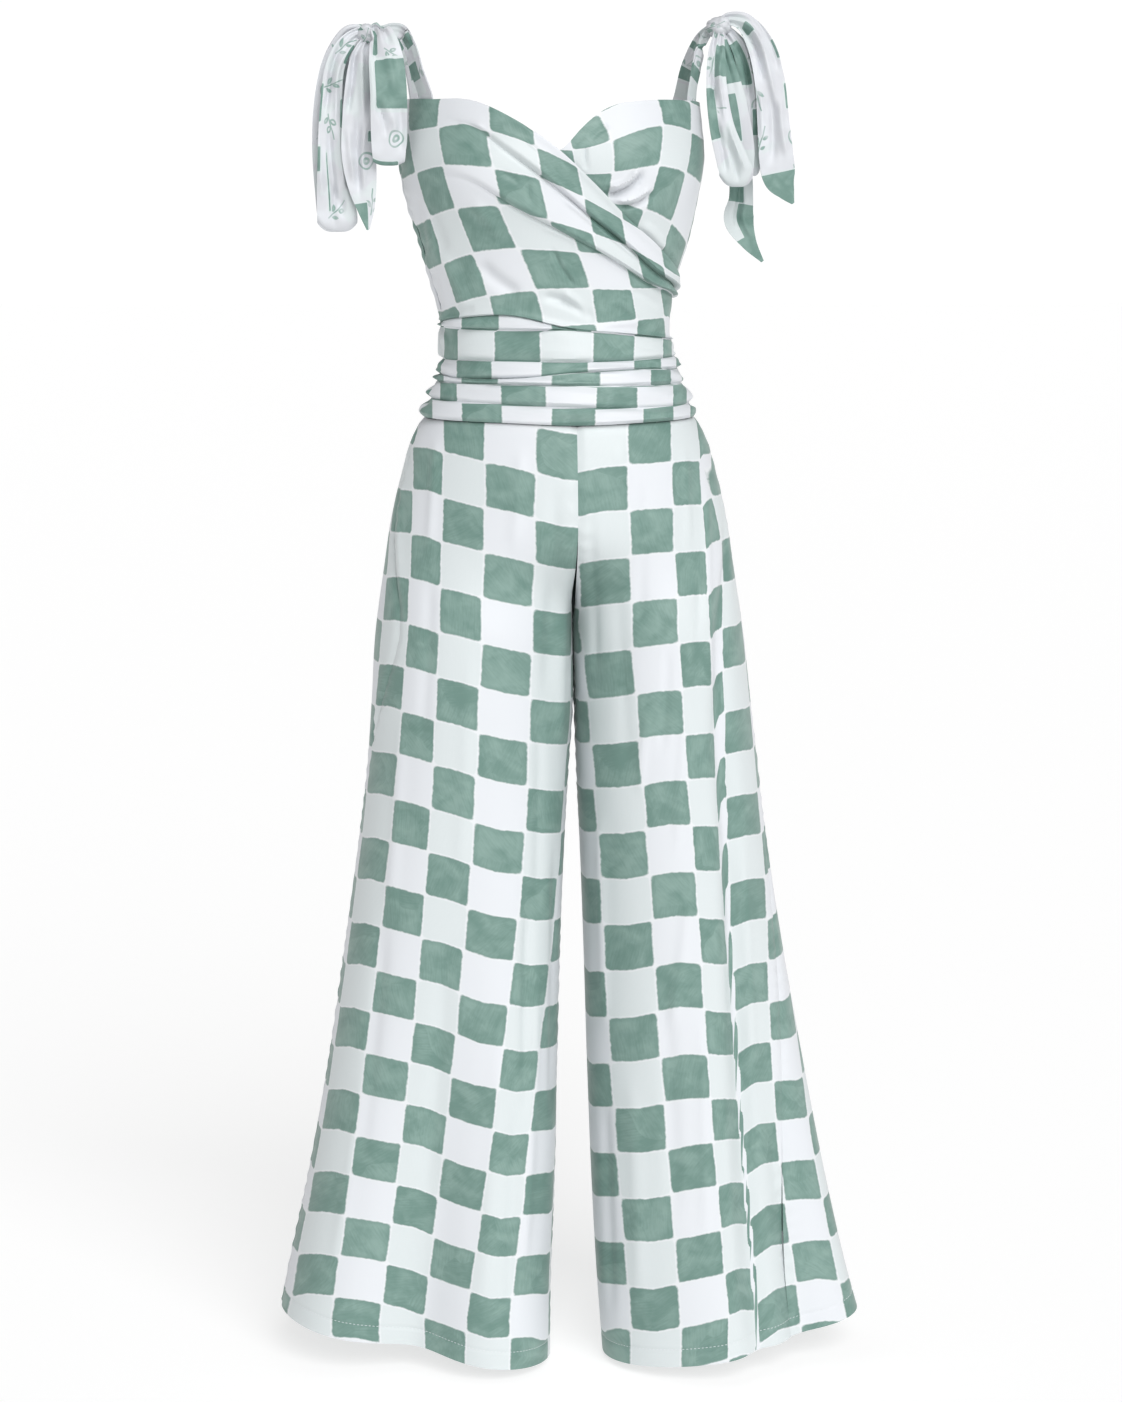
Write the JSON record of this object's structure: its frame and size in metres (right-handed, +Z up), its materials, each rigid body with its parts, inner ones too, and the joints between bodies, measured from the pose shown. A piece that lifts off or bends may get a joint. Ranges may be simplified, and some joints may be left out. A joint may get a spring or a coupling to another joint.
{
  "type": "jumpsuit",
  "caption": "Sleeveless wide-legged jumpsuit with a wrap bodice, a ruched midriff and tied shoulder straps, filled out as when worn.",
  "frame": {"origin": "between the two shoulders at the height where the straps rest on them", "axes": "+X to the wearer's left, -Y to the front, +Z up"},
  "size_m": [0.6468, 0.2693, 1.4629],
  "materials": {
    "dress_cloth": "smooth matt crepe printed with a hand-painted check in sage green, pale mint and white",
    "tie_cloth": "the same cloth doubled and pressed, white with sage green blocks and fine line sprigs"
  },
  "bodies": {
    "root": {"bodice_front_wrap": "dress_cloth", "bodice_front_under": "dress_cloth", "bodice_back_right": "dress_cloth", "bodice_back_left": "dress_cloth", "midriff_front": "dress_cloth", "midriff_back_right": "dress_cloth", "midriff_back_left": "dress_cloth", "trouser_front_right": "dress_cloth", "trouser_front_left": "dress_cloth", "trouser_back_right": "dress_cloth", "trouser_back_left": "dress_cloth", "knot_right": "tie_cloth", "loop_front_right": "tie_cloth", "loop_outer_right": "tie_cloth", "tail_front_right": "tie_cloth", "tail_back_right": "tie_cloth", "strap_front_right": "tie_cloth", "strap_back_right": "tie_cloth", "knot_left": "tie_cloth", "loop_front_left": "tie_cloth", "loop_outer_left": "tie_cloth", "tail_front_left": "tie_cloth", "tail_back_left": "tie_cloth", "strap_front_left": "tie_cloth", "strap_back_left": "tie_cloth"}
  },
  "joints": []
}
